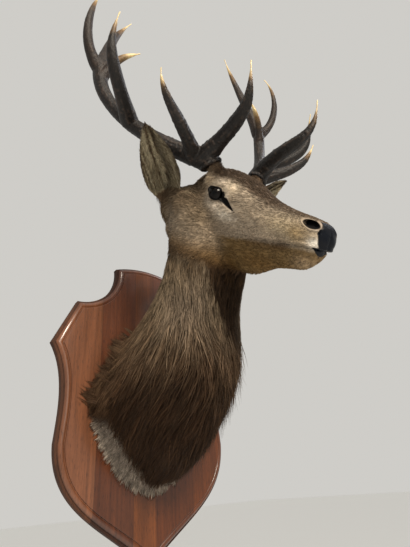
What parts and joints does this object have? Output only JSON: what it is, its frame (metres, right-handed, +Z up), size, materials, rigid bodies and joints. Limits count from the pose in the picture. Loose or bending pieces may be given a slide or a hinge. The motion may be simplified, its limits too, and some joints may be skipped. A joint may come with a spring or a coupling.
{
  "type": "red deer stag head mount",
  "caption": "Life-size red deer stag head and neck with branched antlers, looking down and out from a shield-shaped wooden board with a moulded edge.",
  "frame": {"origin": "middle of the board's flat back, at half the board's height, on the wall", "axes": "+Z up, +Y into the wall, +X to the right seen from the front, so the stag looks out along -Y and down, and its own right side is on -X"},
  "size_m": [0.6096, 0.5893, 1.3262],
  "materials": {
    "mahogany": "french polished mahogany",
    "steel": "plain rolled steel",
    "antler": "pearled brown antler with rubbed ivory tips",
    "coat_dark": "long dark brown winter mane hair",
    "coat_grey": "grey-brown neck and ear hair",
    "coat_tan": "short tan face hair",
    "nose_skin": "bare black nose skin, slightly glossy",
    "eye_glass": "polished dark glass eye, opaque"
  },
  "bodies": {
    "root": {"shield_board": "mahogany", "hanging_plate": "steel", "antler_lower_beam_R": "antler", "antler_middle_beam_R": "antler", "antler_upper_beam_R": "antler", "antler_brow_R": "antler", "antler_bez_R": "antler", "antler_trez_R": "antler", "antler_crown_back_R": "antler", "antler_crown_top_R": "antler", "antler_crown_front_R": "antler", "antler_lower_beam_L": "antler", "antler_middle_beam_L": "antler", "antler_upper_beam_L": "antler", "antler_brow_L": "antler", "antler_bez_L": "antler", "antler_trez_L": "antler", "antler_crown_back_L": "antler", "antler_crown_top_L": "antler", "antler_crown_front_L": "antler", "neck_base": "coat_dark", "neck_lower": "coat_dark", "neck_upper": "coat_grey", "head": "coat_tan", "lower_jaw": "coat_tan", "muzzle": "coat_tan", "nose_pad": "nose_skin", "ear_R": "coat_grey", "ear_L": "coat_grey", "eye_R": "eye_glass", "eye_L": "eye_glass"}
  },
  "joints": []
}
